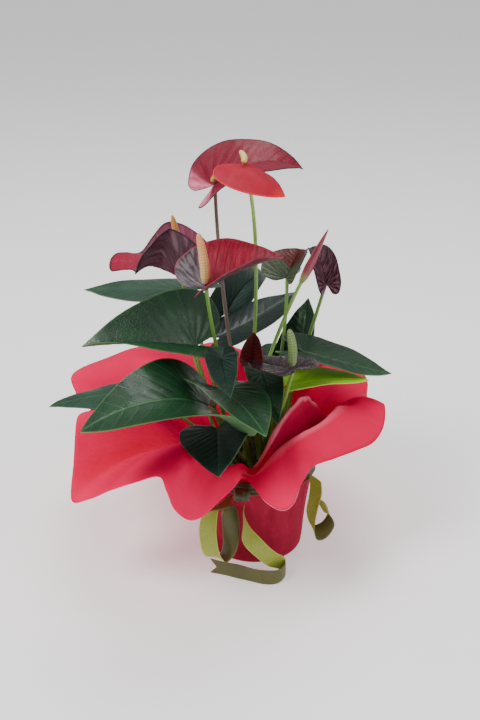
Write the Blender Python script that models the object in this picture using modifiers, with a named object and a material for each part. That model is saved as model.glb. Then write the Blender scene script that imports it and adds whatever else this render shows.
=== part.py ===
"""Potted anthurium in a gathered florist's sheet tied with a satin ribbon.

Metres, +Z up. The underside of the wrapped pot rests on z = 0 and the pot's axis is the Z axis;
-Y is the front, where the bow is. Every physical piece is an object of its own.
"""
import math

import bmesh
import bpy
import numpy as np

NAME = "anthurium_in_wrap"

# ---- pot, soil and wrap -------------------------------------------------------------------------
POT_BASE_R, POT_TOP_R, POT_H, POT_WALL = 0.0420, 0.0530, 0.1000, 0.0012
POT_Z0 = 0.0014                       # the pot stands on the sheet that passes under it
LIP_H, LIP_OUT = 0.0080, 0.0008       # the pot's thickened lip: height, and extra wall inside
EASE, POT_FLOOR = 0.0010, 0.0020      # rounding of the pot's foot and lip; thickness of its floor
SOIL_TOP, SOIL_CROWN, SOIL_GAP, SOIL_SIDE = 0.0880, 0.0020, 0.0005, 0.0012
SHEET_T = 0.0008                      # non-woven sheet, with its backing
WRAP_BASE_R, WRAP_NECK_R, WRAP_NECK_Z = 0.0458, 0.0572, 0.1000
RIBBON_W, RIBBON_T = 0.0160, 0.0006
BLADE_T, SPATHE_T = 0.0009, 0.0009    # leaf and spathe thickness
CLEAR = 0.0005                        # air kept between two pieces that meet
STALK_RISE = 0.0060                   # straight first stretch of every stalk

# The sheet's free edge: (bearing in degrees, reach from the axis, height, how far the sheet arches
# above a straight run on its way out). Bearings run anticlockwise from +X, seen from above.
SHEET_EDGE = [
    (-176, .157, .151, .010), (-163, .171, .162, .014), (-157, .180, .131, .034), (-153, .188, .098, .055),
    (-147, .178, .106, .055), (-140, .167, .122, .050), (-131, .158, .138, .042), (-123, .153, .149, .032),
    (-119, .159, .142, .038), (-117, .157, .125, .045), (-114, .147, .110, .052), (-111, .134, .107, .050),
    (-108, .113, .110, .044), (-103.5, .094, .114, .034), (-99, .081, .119, .026), (-92, .100, .122, .030),
    (-87, .119, .119, .040), (-81, .129, .115, .046), (-76, .128, .119, .046), (-71, .119, .133, .036),
    (-62, .104, .137, .034), (-49, .108, .140, .036), (-38, .114, .141, .040), (-28, .121, .142, .044),
    (-18, .124, .149, .040), (-9, .122, .160, .030), (0, .115, .150, .028), (12, .112, .147, .028),
    (24, .124, .147, .026), (34, .136, .145, .026), (45, .146, .139, .030), (60, .160, .128, .036),
    (75, .150, .146, .022), (90, .162, .130, .036), (104, .178, .138, .030), (118, .184, .130, .038),
    (130, .192, .144, .028), (143, .197, .144, .028), (157, .204, .144, .020), (167, .184, .141, .012),
]

# ---- plant: outlines of one half, (across / half width, along / length), notch to tip -----------
LEAF = [(.07, -.05), (.30, -.22), (.62, -.26), (.90, -.14), (1.0, .06), (.93, .28), (.72, .52), (.42, .75),
        (.16, .91), (.0, 1.0)]
SPATHE = [(.07, -.03), (.34, -.20), (.68, -.21), (.93, -.07), (1.0, .14), (.93, .36), (.74, .58), (.45, .79),
          (.17, .93), (.0, 1.0)]

# name: junction, (heading, pitch, roll), length, width, fold of each half, curl of each half,
# (droop, lobes, sway).  Heading 0 is +Y, 90 is +X.  Degrees and metres.
LEAVES = {
    "01": ((-.055, -.039, .230), (-115, 17, -17), 0.102, 0.101, (45, 35), (-37, 25), (30, 1, 20)),
    "02": ((-.067, .050, .249), (-73, -2, -2), 0.111, 0.074, (-2, -2), (4, -5), (10, -10, 3)),
    "03": ((-.034, .033, .207), (61, 12, 13), 0.094, 0.081, (9, 12), (-55, 29), (-9, -8, -9)),
    "04": ((-.029, .091, .209), (30, 32, 17), 0.108, 0.051, (41, 25), (13, 15), (59, -10, 7)),
    "05": ((.043, .040, .179), (19, 50, -27), 0.065, 0.058, (14, 20), (15, 16), (-3, -10, -5)),
    "06": ((.043, -.007, .210), (102, -12, 11), 0.085, 0.065, (3, 5), (-15, 41), (1, -10, -8)),
    "07": ((.031, -.026, .184), (92, 16, 10), 0.073, 0.058, (1, 9), (-25, 38), (18, -10, 7)),
    "08": ((-.042, -.096, .200), (-136, 40, -36), 0.125, 0.099, (14, -14), (52, 19), (90, -43, -11)),
    "09": ((-.114, .0, .164), (-97, 1, -4), 0.084, 0.054, (-3, 0), (3, -17), (16, -10, -1)),
    "10": ((-.035, -.077, .167), (178, -1, 11), 0.059, 0.068, (13, 1), (1, 2), (27, -13, 5)),
    "11": ((-.031, -.087, .212), (148, 2, -9), 0.074, 0.074, (-3, 0), (3, 38), (22, -12, -1)),
    "12": ((-.031, -.086, .240), (172, -17, 6), 0.052, 0.029, (12, 8), (17, 19), (-9, -10, -4)),
    "13": ((.005, -.031, .199), (167, -18, 3), 0.059, 0.036, (17, 15), (13, 18), (12, -10, -2)),
    "14": ((.030, .080, .160), (35, -3, 0), 0.080, 0.060, (8, 12), (15, 15), (25, -10, 5)),
}
SPATHES = {
    "1": (((-.038, .019, .361), (88, 46, 15), 0.088, 0.079, (10, 6), (17, 23), (78, -10, 6)),
          "spathe_raspberry", "stalk_brown"),
    "2": (((-.012, -.036, .393), (130, -17, 14), 0.045, 0.071, (-30, 8), (-14, -3), (27, 20, -12)),
          "spathe_coral", "stalk_green"),
    "3": (((-.068, .006, .278), (-84, 6, -14), 0.073, 0.100, (48, 36), (35, 5), (10, -15, 0)),
          "spathe_mauve", "stalk_green"),
    "4": (((-.044, -.053, .291), (65, 24, 1), 0.078, 0.083, (33, 21), (-6, 23), (24, -1, -4)),
          "spathe_crimson", "stalk_green"),
    "5": (((.030, .052, .261), (32, 41, 2), 0.039, 0.057, (24, 33), (2, 28), (26, -7, -11)),
          "spathe_bronze", "stalk_green"),
    "6": (((.065, .020, .267), (-12, 49, 5), 0.056, 0.035, (34, 42), (9, 24), (59, -9, -1)),
          "spathe_dark", "stalk_green"),
    "7": (((.031, -.071, .222), (-50, -3, 5), 0.051, 0.067, (13, 13), (-2, -26), (5, -8, -12)),
          "spathe_dark", "stalk_green"),
}

# ---- stalks: foot on the soil (x, y), control point of the curve, radius at foot and top --------
YOUNG_LEAF = "07"
PETIOLE_R, STALK_R = (.0017, .0013), (.0020, .0016)
PETIOLES = {
    "01": ((-.022, -.011), (-.046, -.016, .172)),
    "02": ((-.019, .018), (-.071, .023, .185)),
    "03": ((-.008, .017), (-.024, .027, .162)),
    "04": ((-.005, .024), (-.027, .054, .162)),
    "05": ((.021, .018), (.031, .020, .139)),
    "06": ((.027, .005), (.035, .021, .164)),
    "07": ((.021, -.012), (.007, .003, .126)),
    "08": ((-.016, -.025), (-.040, -.043, .142)),
    "09": ((-.028, .004), (-.070, .003, .140)),
    "10": ((-.008, -.027), (-.021, -.065, .150)),
    "11": ((-.001, -.022), (-.017, -.044, .162)),
    "12": ((-.016, .004), (-.015, -.002, .164)),
    "13": ((.006, -.011), (.003, -.014, .148)),
    "14": ((.008, .027), (.023, .062, .138)),
}
FLOWER_STALKS = {
    "1": ((-.006, .009), (-.033, -.025, .258)),
    "2": ((-.010, -.004), (.010, .014, .322)),
    "3": ((-.018, -.004), (-.048, -.012, .211)),
    "4": ((-.005, -.015), (-.040, -.034, .225)),
    "5": ((.010, .013), (.030, .024, .203)),
    "6": ((.017, .006), (.048, .037, .190)),
    "7": ((.013, -.016), (.021, -.035, .155)),
    "8": ((.004, .003), (-.011, -.003, .161)),
}

# ---- spadices: base, tip, radius -------------------------------------------------------------------
SPADICES = {
    "1": ((-.0397, .0181, .3654), (-.0361, .0064, .3785), 0.0024, "spadix_cream"),
    "2": ((-.0118, -.0379, .3964), (-.0150, -.0199, .4008), 0.0026, "spadix_cream"),
    "3": ((-.0686, .0051, .2823), (-.0752, .0051, .3378), 0.0036, "spadix_cream"),
    "4": ((-.0448, -.0531, .2962), (-.0499, -.0531, .3401), 0.0040, "spadix_cream"),
    "5": ((.0344, .0595, .2618), (.0432, .0742, .2634), 0.0026, "spadix_green"),
    "6": ((.0627, .0285, .2686), (.0584, .0446, .2727), 0.0026, "spadix_green"),
    "7": ((.0301, -.0700, .2265), (.0267, -.0700, .2604), 0.0040, "spadix_green"),
}
BUD = ((.041, .010, .272), (.064, .010, .323))            # the eighth spathe, still rolled up

# ---- colours ---------------------------------------------------------------------------------------
COLOURS = {
    "pot_plastic": (0.20, 0.075, 0.045), "soil": (0.035, 0.022, 0.015),
    "sheet_red": (0.80, 0.045, 0.10), "ribbon_olive": (0.24, 0.26, 0.06),
    "leaf_green": (0.018, 0.085, 0.028), "leaf_young": (0.28, 0.62, 0.035),
    "stalk_green": (0.16, 0.30, 0.06), "stalk_brown": (0.16, 0.12, 0.08),
    "spathe_raspberry": (0.42, 0.03, 0.08), "spathe_crimson": (0.58, 0.02, 0.06),
    "spathe_coral": (0.80, 0.07, 0.07), "spathe_mauve": (0.22, 0.06, 0.13),
    "spathe_dark": (0.07, 0.018, 0.035), "spathe_bronze": (0.14, 0.09, 0.05),
    "bud_red": (0.45, 0.06, 0.12), "spadix_cream": (0.85, 0.52, 0.26), "spadix_green": (0.20, 0.32, 0.09),
}


def reset():
    """Empty scene and a collection named for the object."""
    for ob in list(bpy.data.objects):
        bpy.data.objects.remove(ob, do_unlink=True)
    col = bpy.data.collections.new(NAME)
    bpy.context.scene.collection.children.link(col)
    return col


def material(name):
    mat = bpy.data.materials.get(name)
    if mat is None:
        mat = bpy.data.materials.new(name)
        mat.use_nodes = True
        mat.node_tree.nodes["Principled BSDF"].inputs["Base Color"].default_value = (*COLOURS[name], 1)
        mat.diffuse_color = (*COLOURS[name], 1)
    return mat


def place(ob, mat):
    COLLECTION.objects.link(ob)
    ob.data.materials.append(material(mat))
    return ob


# ---- surfaces --------------------------------------------------------------------------------------
def grid_object(name, rows, mat, thickness=None, offset=0.0, closed=False):
    """A rectangular net of points (rows, cols, 3) as a quad mesh; repeated points are welded."""
    rows = np.asarray(rows, float)
    nr, nc = rows.shape[:2]
    bm = bmesh.new()
    bmesh.ops.create_grid(bm, x_segments=nc - 1, y_segments=nr - 1, size=1.0)
    for v in bm.verts:
        j = int(round((v.co.x + 1) / 2 * (nc - 1)))
        i = int(round((v.co.y + 1) / 2 * (nr - 1)))
        v.co = rows[i, j]
    bmesh.ops.remove_doubles(bm, verts=bm.verts, dist=1e-6)
    if closed:
        bmesh.ops.recalc_face_normals(bm, faces=bm.faces)
    me = bpy.data.meshes.new(name)
    bm.to_mesh(me)
    bm.free()
    ob = place(bpy.data.objects.new(name, me), mat)
    if thickness:
        sol = ob.modifiers.new("thickness", "SOLIDIFY")
        sol.thickness, sol.offset, sol.use_even_offset = thickness, offset, False
    return ob


def lathe(name, profile, mat, segments=32):
    """Closed revolution of (radius, height) pairs running from the axis back to the axis."""
    a = np.linspace(0, 2 * math.pi, segments + 1)
    rows = [[(r * math.cos(t), r * math.sin(t), z) for t in a] for r, z in profile]
    return grid_object(name, rows, mat, closed=True)


def tube(name, points, radii, mat):
    """Round stalk through the points, six-sided, capped at both ends."""
    cu = bpy.data.curves.new(name, "CURVE")
    cu.dimensions = "3D"
    cu.bevel_depth, cu.bevel_resolution, cu.use_fill_caps = max(radii), 1, True
    sp = cu.splines.new("POLY")
    sp.points.add(len(points) - 1)
    for p, co, r in zip(sp.points, points, radii):
        p.co = (*co, 1.0)
        p.radius = r / max(radii)
    return place(bpy.data.objects.new(name, cu), mat)


def catmull(points, n):
    """n points evenly along a smooth curve through the given ones."""
    p = np.asarray(points, float)
    p = np.vstack([2 * p[0] - p[1], p, 2 * p[-1] - p[-2]])
    m, out = len(p) - 3, []
    for s in np.linspace(0, m, n):
        i = min(int(s), m - 1)
        t = s - i
        a, b, c, d = p[i:i + 4]
        out.append(0.5 * (2 * b + (c - a) * t + (2 * a - 5 * b + 4 * c - d) * t ** 2
                          + (3 * b - a - 3 * c + d) * t ** 3))
    return np.array(out)


def bezier(a, b, c, n):
    t = np.linspace(0, 1, n)[:, None]
    a, b, c = np.array(a), np.array(b), np.array(c)
    return (1 - t) ** 2 * a + 2 * t * (1 - t) * b + t ** 2 * c


def orient(heading, pitch, roll):
    """Columns: the blade's right, its midrib direction, and its upper face."""
    h, p, r = (math.radians(v) for v in (heading, pitch, roll))
    fwd = np.array([math.sin(h) * math.cos(p), math.cos(h) * math.cos(p), math.sin(p)])
    flat = np.array([math.cos(h), -math.sin(h), 0])
    up = np.cross(flat, fwd)
    return np.stack([flat * math.cos(r) - up * math.sin(r), fwd, up * math.cos(r) + flat * math.sin(r)], 1)


def half_section(x, half_width, fold, curl):
    """Across one half of a blade: it leaves the midrib at the fold angle and curls towards its edge."""
    f, k = math.radians(fold), math.radians(curl) / half_width + 1e-6
    return (np.sin(f + k * x) - math.sin(f)) / k, (math.cos(f) - np.cos(f + k * x)) / k


def bend(angle, y, z):
    """Roll the midrib up along an arc: distance y from the junction, height z above the blade."""
    k = angle + 1e-6
    return np.sin(k * y) / k + z * np.sin(k * y), -(1 - np.cos(k * y)) / k + z * np.cos(k * y)


def blade_points(spec, outline, across=8, rings=4):
    """Heart-shaped blade as rings about its junction, folded, drooped and placed."""
    junction, angles, length, width, fold, curl, (droop, lobes, sway) = spec
    half = catmull(outline, across) * [width / 2, length]
    margin = np.vstack([half * [-1, 1], half[::-1][1:]])
    flat = np.linspace(0, 1, rings + 1)[:, None, None] * margin
    x, y = flat[..., 0], flat[..., 1]
    left, right = (half_section(abs(x), width / 2, fold[i], curl[i]) for i in (0, 1))
    X, Z = np.where(x < 0, -left[0], right[0]), np.where(x < 0, left[1], right[1])
    down, back = bend(math.radians(droop) / length, y, Z), bend(-math.radians(lobes) / length, y, Z)
    Y, Z = np.where(y >= 0, down[0], back[0]), np.where(y >= 0, down[1], back[1])
    ks = math.radians(sway) / length + 1e-6
    side = (1 - np.cos(ks * Y)) / ks + X * np.cos(ks * Y)
    Y = np.sin(ks * Y) / ks - X * np.sin(ks * Y)
    return np.stack([side, Y, Z], -1) @ orient(*angles).T + np.array(junction)


# ---- pieces ----------------------------------------------------------------------------------------
def grow_pot():
    """Plain nursery pot: a thin cup with a small rolled lip."""
    top, base, wall, mouth = POT_TOP_R, POT_BASE_R, POT_WALL, POT_TOP_R - POT_WALL - LIP_OUT
    profile = [(0, POT_Z0), (base - EASE, POT_Z0), (base, POT_Z0 + EASE), (top - EASE, POT_H - LIP_H),
               (top, POT_H - LIP_H + EASE), (top, POT_H), (mouth, POT_H), (mouth, POT_H - LIP_H),
               (base - wall, POT_Z0 + POT_FLOOR), (0, POT_Z0 + POT_FLOOR)]
    lathe("grow_pot", profile, "pot_plastic")


def potting_soil():
    """Root ball and soil: fills the pot with a slight crown."""
    def inner(z):
        t = (z - POT_Z0) / (POT_H - LIP_H - POT_Z0)
        return POT_BASE_R + t * (POT_TOP_R - POT_BASE_R) - POT_WALL - SOIL_SIDE - SOIL_GAP
    z0 = POT_Z0 + POT_FLOOR + SOIL_GAP
    rim, crown = inner(SOIL_TOP), SOIL_TOP + SOIL_CROWN
    profile = [(0, z0), (inner(z0), z0), (rim, SOIL_TOP), (rim * .6, crown), (0, crown)]
    lathe("potting_soil", profile, "soil")


def wrap_sheet():
    """One sheet: flat under the pot, up its wall, tied at the neck, then out to the free edge."""
    below = [(0, 0), (WRAP_BASE_R * .6, 0), (WRAP_BASE_R, 0), (WRAP_BASE_R + .0012, .003), (.0505, .045),
             (.0558, .085)]
    cols = []
    for bearing, reach, height, arch in SHEET_EDGE + SHEET_EDGE[:1]:
        a = math.radians(bearing)
        neck = (WRAP_NECK_R, 0, WRAP_NECK_Z)
        lift = (WRAP_NECK_R + .35 * (reach - WRAP_NECK_R), 0, max(height, WRAP_NECK_Z) + arch)
        run = [(r, z) for r, _, z in bezier(neck, lift, (reach, 0, height), 7)]
        cols.append([(r * math.cos(a), r * math.sin(a), z) for r, z in below + run])
    rows = np.array(cols).transpose(1, 0, 2)
    grid_object("wrap_sheet", rows, "sheet_red", SHEET_T, -1.0)


def ribbon(name, stations, n, mat="ribbon_olive"):
    """Flat ribbon: stations are (centre, direction across the ribbon), smoothed to n rows."""
    centre = catmull([c for c, _ in stations], n)
    across = catmull([s for _, s in stations], n)
    across = across / np.linalg.norm(across, axis=1)[:, None] * RIBBON_W / 2
    return grid_object(name, np.stack([centre - across, centre + across], 1), mat, RIBBON_T, 0.0)


def ribbon_band():
    """The ribbon bunched round the neck of the sheet."""
    r = .0578
    profile = [(r, .086), (r + .0010, .0855), (r + .0014, .0905), (r + .0016, .0975), (r + .0006, .098),
               (r, .086)]
    lathe("ribbon_band", profile, "ribbon_olive", 40)


def bow_knot():
    centre, size = (-.0130, -.0672, .0920), (.0075, .0058, .0065)
    profile = [(math.sin(t), -math.cos(t)) for t in np.linspace(0, math.pi, 9)]
    a = np.linspace(0, 2 * math.pi, 13)
    rows = [[(centre[0] + size[0] * r * math.cos(t), centre[1] + size[1] * r * math.sin(t),
              centre[2] + size[2] * z) for t in a] for r, z in profile]
    grid_object("bow_knot", rows, "ribbon_olive", closed=True)


def bow():
    """Two loops and the long tail that turns on the floor."""
    ribbon("bow_loop_left", [
        ((-.0230, -.0735, .0900), (.2, .9, .3)), ((-.0400, -.0800, .0845), (.8, .5, .2)),
        ((-.0445, -.0860, .0690), (1, .1, .0)), ((-.0435, -.0870, .0500), (1, -.1, .1)),
        ((-.0395, -.0840, .0345), (.9, -.4, .2)), ((-.0305, -.0790, .0295), (.5, -.8, .1)),
        ((-.0245, -.0760, .0400), (.8, -.5, .0)), ((-.0235, -.0725, .0560), (1, -.1, .0)),
        ((-.0245, -.0705, .0720), (.9, .3, .0)), ((-.0260, -.0715, .0820), (.6, .7, .0))], 25)
    ribbon("ribbon_tail", [
        ((-.0115, -.0745, .0830), (.1, 1, .0)), ((-.0115, -.0780, .0700), (.1, 1, .1)),
        ((-.0090, -.0800, .0570), (.45, .8, .4)), ((.0010, -.0800, .0430), (.65, .25, .7)),
        ((.0140, -.0765, .0270), (.6, .1, .8)), ((.0225, -.0710, .0190), (.3, .0, .95)),
        ((.0280, -.0680, .0130), (.0, .0, 1)), ((.0275, -.0730, .0098), (.0, .0, 1)),
        ((.0200, -.0800, .0084), (.0, .0, 1)), ((.0050, -.0800, .0084), (.0, .0, 1)),
        ((-.0160, -.0720, .0084), (.0, .0, 1)), ((-.0440, -.0620, .0084), (.0, .0, 1))], 30)
    ribbon("bow_loop_right", [
        ((.0570, -.0350, .0900), (.5, -.8, .1)), ((.0580, -.0370, .0780), (.5, -.8, .1)),
        ((.0555, -.0400, .0650), (.3, -.9, -.2)), ((.0535, -.0430, .0500), (.3, -.9, -.2)),
        ((.0565, -.0470, .0360), (.3, -.9, -.2)), ((.0660, -.0480, .0410), (.3, -.9, -.2)),
        ((.0725, -.0470, .0530), (.3, -.9, -.2)), ((.0690, -.0450, .0620), (.3, -.9, -.2)),
        ((.0625, -.0430, .0655), (.3, -.9, -.2))], 24)


def stalk(name, foot, control, top, radii, mat):
    """A curved stalk that leaves the soil upright."""
    ground = SOIL_TOP + SOIL_CROWN
    points = bezier((*foot, ground + STALK_RISE), control, top, 9)
    points = [(*foot, ground + CLEAR), *points]
    tube(name, points, np.linspace(radii[0], radii[1], len(points)), mat)


def under(spec, drop):
    """Point just below a blade's junction."""
    return np.array(spec[0]) - orient(*spec[1])[:, 2] * drop


def leaves():
    for name, spec in LEAVES.items():
        mat = "leaf_young" if name == YOUNG_LEAF else "leaf_green"
        grid_object("leaf_" + name, blade_points(spec, LEAF), mat, BLADE_T)
        foot, control = PETIOLES[name]
        top = under(spec, BLADE_T / 2 + CLEAR + PETIOLE_R[1])
        stalk("petiole_" + name, foot, control, top, PETIOLE_R, "stalk_green")


def flowers():
    for name, (spec, mat, stalk_mat) in SPATHES.items():
        grid_object("spathe_" + name, blade_points(spec, SPATHE), mat, SPATHE_T)
        foot, control = FLOWER_STALKS[name]
        top = under(spec, SPATHE_T / 2 + CLEAR + STALK_R[1])
        stalk("flower_stalk_" + name, foot, control, top, STALK_R, stalk_mat)
    for name, (base, tip, r, mat) in SPADICES.items():
        points = [np.array(base) + (np.array(tip) - base) * t for t in (0, .12, .5, .85, .97, 1)]
        tube("spadix_" + name, points, [r * k for k in (.6, .9, 1, .85, .5, .2)], mat)


def bud():
    base, tip = (np.array(p) for p in BUD)
    points = [base + (tip - base) * t for t in (0, .1, .35, .6, .85, 1)]
    tube("bud_8", points, [.0016, .0036, .0046, .0036, .0018, .0006], "bud_red")
    foot, control = FLOWER_STALKS["8"]
    stalk("flower_stalk_8", foot, control, base - (tip - base) * .03, STALK_R, "stalk_green")


COLLECTION = reset()
grow_pot()
potting_soil()
wrap_sheet()
ribbon_band()
bow_knot()
bow()
leaves()
flowers()
bud()
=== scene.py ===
# %% [markdown]
# # A potted anthurium in a gathered red sheet
# A florist's gift plant: an anthurium in a plain nursery pot, the pot hidden in a coral-red non-woven sheet that is
# gathered round its neck and tied with an olive satin ribbon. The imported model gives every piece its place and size,
# and this lesson gives each one its real surface. It starts by loading that model and keeping its box.

# %% Load the fixed frame
import math

import bpy
import numpy as np
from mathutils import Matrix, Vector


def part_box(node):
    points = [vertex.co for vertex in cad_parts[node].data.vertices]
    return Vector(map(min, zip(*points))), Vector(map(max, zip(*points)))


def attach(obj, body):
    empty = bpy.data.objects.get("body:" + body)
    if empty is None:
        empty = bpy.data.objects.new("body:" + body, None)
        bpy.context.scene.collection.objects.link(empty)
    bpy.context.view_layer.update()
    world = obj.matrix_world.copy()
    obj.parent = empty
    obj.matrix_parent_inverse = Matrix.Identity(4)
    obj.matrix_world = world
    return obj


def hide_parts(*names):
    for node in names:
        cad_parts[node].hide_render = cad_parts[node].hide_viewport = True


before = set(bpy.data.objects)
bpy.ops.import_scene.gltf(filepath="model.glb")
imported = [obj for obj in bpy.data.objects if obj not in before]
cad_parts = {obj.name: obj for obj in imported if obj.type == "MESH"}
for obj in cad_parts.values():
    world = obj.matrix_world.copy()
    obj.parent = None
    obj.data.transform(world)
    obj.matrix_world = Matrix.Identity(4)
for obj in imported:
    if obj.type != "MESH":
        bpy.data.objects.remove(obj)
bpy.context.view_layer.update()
dice = np.random.default_rng(8)
print("pieces in the packed model:", len(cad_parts))

# %% [markdown]
# ## Camera
# The plant is seen from a little above, as a person sees a plant on a table. A 50 mm lens about a metre away keeps
# the flowers and the pot in natural proportion. The camera is placed first, so every later step can be judged.

# %% Camera
bpy.ops.object.camera_add(location=(-0.015, -0.85, 0.60), rotation=(math.radians(64.7), 0, 0))
camera = bpy.context.object
camera.name = "table_view"
camera.data.lens = 50
camera.data.sensor_width = 36
bpy.context.scene.camera = camera
print("camera looks down by", round(90 - math.degrees(camera.rotation_euler.x), 1), "degrees")

# %% [markdown]
# ## Writing finishes
# Every finish here is a small tree of nodes on one Principled shader. A few helpers keep those trees readable: `node`
# adds one node and fills its inputs, `calc` is one step of arithmetic, and `tint` lays one colour over another.

# %% Helpers for finishes
def new_finish(name, roughness=0.5, **constants):
    """A material with its Principled shader; constants are set on the shader's own sockets."""
    mat = bpy.data.materials.new(name)
    mat.use_nodes = True
    shader = mat.node_tree.nodes["Principled BSDF"]
    shader.inputs["Roughness"].default_value = roughness
    for socket, value in constants.items():
        shader.inputs[socket.replace("_", " ")].default_value = value
    return mat, mat.node_tree, shader


def node(tree, kind, inputs=None, **settings):
    made = tree.nodes.new("ShaderNode" + kind)
    for key, value in settings.items():
        setattr(made, key, value)
    for key, value in (inputs or {}).items():
        if isinstance(value, bpy.types.NodeSocket):
            tree.links.new(value, made.inputs[key])
        else:
            made.inputs[key].default_value = value
    return made


def calc(tree, operation, a, b=0.0):
    return node(tree, "Math", {0: a, 1: b}, operation=operation).outputs[0]


def blend(tree, amount, a, b):
    a, b = ((*c, 1) if isinstance(c, tuple) else c for c in (a, b))
    return node(tree, "Mix", {0: amount, 6: a, 7: b}, data_type="RGBA").outputs[2]


def tint(tree, colour, other, where, share):
    """colour, with a share of another one laid on where a pattern is 1."""
    return blend(tree, calc(tree, "MULTIPLY", where, share), colour, other)


def fade(tree, value, start, end, low=0.0, high=1.0):
    """low before start, high after end, smooth between."""
    return node(tree, "MapRange", {0: value, 1: start, 2: end, 3: low, 4: high},
                interpolation_type="SMOOTHSTEP").outputs[0]


def grain(tree, scale, detail=3.0, roughness=0.55, where=None):
    """Soft noise on the object's own coordinates, or on the coordinates given."""
    where = where or node(tree, "TexCoord").outputs["Object"]
    inputs = {"Vector": where, "Scale": scale, "Detail": detail, "Roughness": roughness}
    return node(tree, "TexNoise", inputs).outputs[0]


def lengthwise(tree, round_, along, stretch, *noise):
    """Soft noise drawn out along a piece; stretch is its scale across the streaks and along them."""
    across, along = (calc(tree, "MULTIPLY", way, k) for way, k in zip((round_, along), stretch))
    return grain(tree, *noise, node(tree, "CombineXYZ", {0: across, 1: along}).outputs[0])


def cell_walls(tree, where, scale, width):
    """1 on the walls of a fine cell pattern, like the smallest veins, and 0 inside the cells."""
    walls = node(tree, "TexVoronoi", {"Vector": where, "Scale": scale}, feature="DISTANCE_TO_EDGE")
    return fade(tree, walls.outputs[0], width, .0)


def surface_map(tree, name):
    """The two coordinates of one of a piece's own UV maps, and both together."""
    uv = node(tree, "UVMap", uv_map=name)
    parts = node(tree, "SeparateXYZ", {0: uv.outputs[0]})
    return parts.outputs[0], parts.outputs[1], uv.outputs[0]


def relief(tree, shader, height, distance, strength=1.0):
    bump = node(tree, "Bump", {"Height": height, "Distance": distance, "Strength": strength})
    tree.links.new(bump.outputs[0], shader.inputs["Normal"])


def paint(tree, shader, colour):
    tree.links.new(colour, shader.inputs["Base Color"])


def uneven_gloss(tree, shader, amount, shiniest, dullest, start=.3, end=.7):
    """Lets the roughness wander with a noise or pattern instead of being the same all over."""
    tree.links.new(fade(tree, amount, start, end, shiniest, dullest), shader.inputs["Roughness"])


# %% [markdown]
# ## Studio
# A wide pale floor and large soft lights suit a glossy plant: big lamps make broad, gentle highlights on the leaves
# and soft shadows under the sheet. The key lamp stands high on the left, a weaker one fills the right side.

# %% Floor, lamps and background
bpy.ops.mesh.primitive_plane_add(size=14)
floor = bpy.context.object
floor.name = "studio_floor"
pale, tree, shader = new_finish("pale_floor", 0.8, Emission_Color=(1, 1, 1, 1), Emission_Strength=.38)
paint(tree, shader, blend(tree, grain(tree, 3.0), (0.92, 0.92, 0.92), (0.95, 0.95, 0.945)))
floor.data.materials.append(pale)


def soft_lamp(name, place, aim, size, watts):
    bpy.ops.object.light_add(type="AREA", location=place)
    lamp = bpy.context.object
    lamp.name = name
    lamp.data.shape, lamp.data.size, lamp.data.energy = "DISK", size, watts
    dx, dy, dz = (aim[i] - place[i] for i in range(3))
    lamp.rotation_euler = (math.atan2(math.hypot(dx, dy), -dz), 0, math.atan2(-dx, dy))


soft_lamp("key_lamp", (-1.0, -.75, 1.8), (0, 0, .2), .8, 32)
soft_lamp("fill_lamp", (1.4, -1.0, 1.4), (0, 0, .2), 1.2, 12)
soft_lamp("top_lamp", (0.1, 0.5, 1.9), (0, 0, .2), 1.0, 17)
sky = bpy.data.worlds.new("pale_room")
sky.use_nodes = True
sky.node_tree.nodes["Background"].inputs[0].default_value = (1, 1, 1, 1)
sky.node_tree.nodes["Background"].inputs[1].default_value = 0.42
bpy.context.scene.world = sky

# %% [markdown]
# ## From a flat net to a curved surface
# Leaves, petals, cloth and stalks are all thin skins. The simplest start for a skin is Blender's grid primitive: it
# is added flat, each of its points is then moved to its place, and points that meet are merged. A second pair of UV
# maps can ride on the net, so a finish can follow veins or weave. `dress` adds thickness, finishes and the ties.

# %% Helpers for nets
def net(name, rows, maps=None, outward=False):
    """A grid of points (rows, columns, 3) as a mesh; maps are extra UV maps on the same grid."""
    rows = np.asarray(rows, float)
    nr, nc = rows.shape[:2]
    bpy.ops.mesh.primitive_grid_add(x_subdivisions=nc - 1, y_subdivisions=nr - 1, size=2)
    piece = bpy.context.object
    piece.name = piece.data.name = name
    mesh = piece.data
    flat = np.empty(len(mesh.vertices) * 3)
    mesh.vertices.foreach_get("co", flat)
    flat = flat.reshape(-1, 3)
    j = np.rint((flat[:, 0] + 1) / 2 * (nc - 1)).astype(int)
    i = np.rint((flat[:, 1] + 1) / 2 * (nr - 1)).astype(int)
    mesh.vertices.foreach_set("co", rows[i, j].ravel())
    corners = np.empty(len(mesh.loops), int)
    mesh.loops.foreach_get("vertex_index", corners)
    for title, values in (maps or {}).items():
        mesh.uv_layers.new(name=title)
        mesh.uv_layers[title].data.foreach_set("uv", np.asarray(values, float)[i, j][corners].ravel())
    bpy.ops.object.mode_set(mode="EDIT")
    bpy.ops.mesh.select_all(action="SELECT")
    bpy.ops.mesh.remove_doubles(threshold=1e-6)
    if outward:
        bpy.ops.mesh.normals_make_consistent(inside=False)
    bpy.ops.object.mode_set(mode="OBJECT")
    return piece


def dress(piece, finishes, stands_for=(), thickness=None, offset=0.0, back=0, rim=0, sharp=50):
    """Gives the piece just made its thickness and finishes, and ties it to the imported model."""
    for finish in finishes:
        piece.data.materials.append(finish)
    if thickness:
        wall = piece.modifiers.new("thickness", "SOLIDIFY")
        wall.thickness, wall.offset, wall.use_even_offset = thickness, offset, False
        wall.material_offset, wall.material_offset_rim = back, rim
        bpy.ops.object.modifier_apply(modifier=wall.name)
    bpy.ops.object.shade_smooth_by_angle(angle=math.radians(sharp))
    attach(piece, "root")
    if stands_for:
        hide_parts(*stands_for)


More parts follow.
